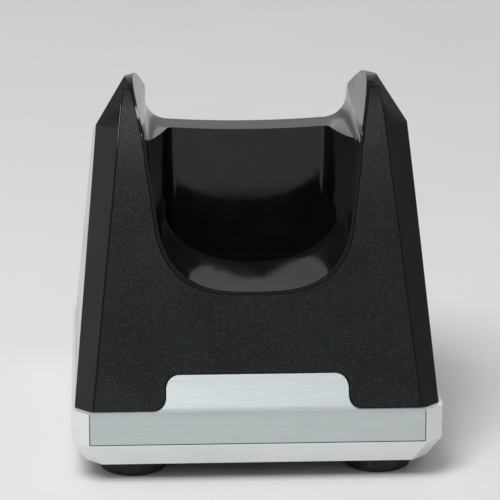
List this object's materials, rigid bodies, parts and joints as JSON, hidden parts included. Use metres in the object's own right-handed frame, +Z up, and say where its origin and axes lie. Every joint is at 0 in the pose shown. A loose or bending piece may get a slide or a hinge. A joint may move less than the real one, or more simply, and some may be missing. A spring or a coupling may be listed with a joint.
{
  "type": "hair clipper charge stand",
  "caption": "Weighted desktop charge stand for a cordless hair clipper: two-horned black cradle on a square silver base with a swivelling cord inlet in one corner.",
  "frame": {"origin": "centre of the square footprint, on the plane that the feet rest on", "axes": "+Z up, front (the side with the nameplate and the low lip) towards -Y, +X to the viewer's right seen from the front"},
  "size_m": [0.1, 0.1, 0.1017],
  "materials": {
    "gloss_shell": "high gloss black moulding",
    "textured_face": "fine sparkle grain, charcoal black",
    "silver_ring": "pale silver, satin",
    "nameplate": "brushed, grey silver, no lettering",
    "base_black": "moulded matt black",
    "foot_rubber": "matt black rubber",
    "screw_steel": "zinc plated",
    "ballast_iron": "rough cast, blackened",
    "contact_brass": "bright, lightly worn",
    "spring_steel": "drawn wire",
    "circuit_green": "green solder mask"
  },
  "bodies": {
    "stand": {"housing": "gloss_shell", "front_cover": "textured_face", "rear_cover": "textured_face", "cradle_cup": "gloss_shell", "nameplate": "nameplate", "base_ring": "silver_ring", "bottom_plate": "base_black", "foot_front_left": "foot_rubber", "foot_front_right": "foot_rubber", "foot_rear_left": "foot_rubber", "foot_rear_right": "foot_rubber", "base_screw_front_left": "screw_steel", "base_screw_front_right": "screw_steel", "base_screw_rear_left": "screw_steel", "base_screw_rear_right": "screw_steel", "ballast_left": "ballast_iron", "ballast_right": "ballast_iron", "ballast_screw_left_front": "screw_steel", "ballast_screw_left_rear": "screw_steel", "ballast_screw_right_front": "screw_steel", "ballast_screw_right_rear": "screw_steel", "circuit_board": "circuit_green", "board_screw_left": "screw_steel", "board_screw_right": "screw_steel", "contact_block": "base_black", "contact_spring_left": "spring_steel", "contact_spring_right": "spring_steel", "pivot_hub": "base_black", "pivot_screw": "screw_steel", "friction_washer": "foot_rubber", "wiper_inner": "contact_brass", "wiper_outer": "contact_brass"},
    "inlet_swivel": {"swivel_dial": "silver_ring", "inlet_drum": "base_black", "inlet_pin_left": "screw_steel", "inlet_pin_right": "screw_steel", "slip_ring_inner": "contact_brass", "slip_ring_outer": "contact_brass"},
    "contact_left": {"contact_pin_left": "contact_brass"},
    "contact_right": {"contact_pin_right": "contact_brass"}
  },
  "joints": [
    {"name": "inlet_turn", "type": "hinge", "parent": "stand", "child": "inlet_swivel", "pos_m": [0.0334, 0.0334, 0.0122], "axis": [0, 0, 1], "range_deg": [-45, 45]},
    {"name": "contact_left_press", "type": "slide", "parent": "stand", "child": "contact_left", "axis": [0, 0, -1], "range_m": [0, 0.002], "stiffness_N_per_m": 250, "springref_m": -0.001, "deforming": ["contact_spring_left"]},
    {"name": "contact_right_press", "type": "slide", "parent": "stand", "child": "contact_right", "axis": [0, 0, -1], "range_m": [0, 0.002], "stiffness_N_per_m": 250, "springref_m": -0.001, "deforming": ["contact_spring_right"]}
  ]
}
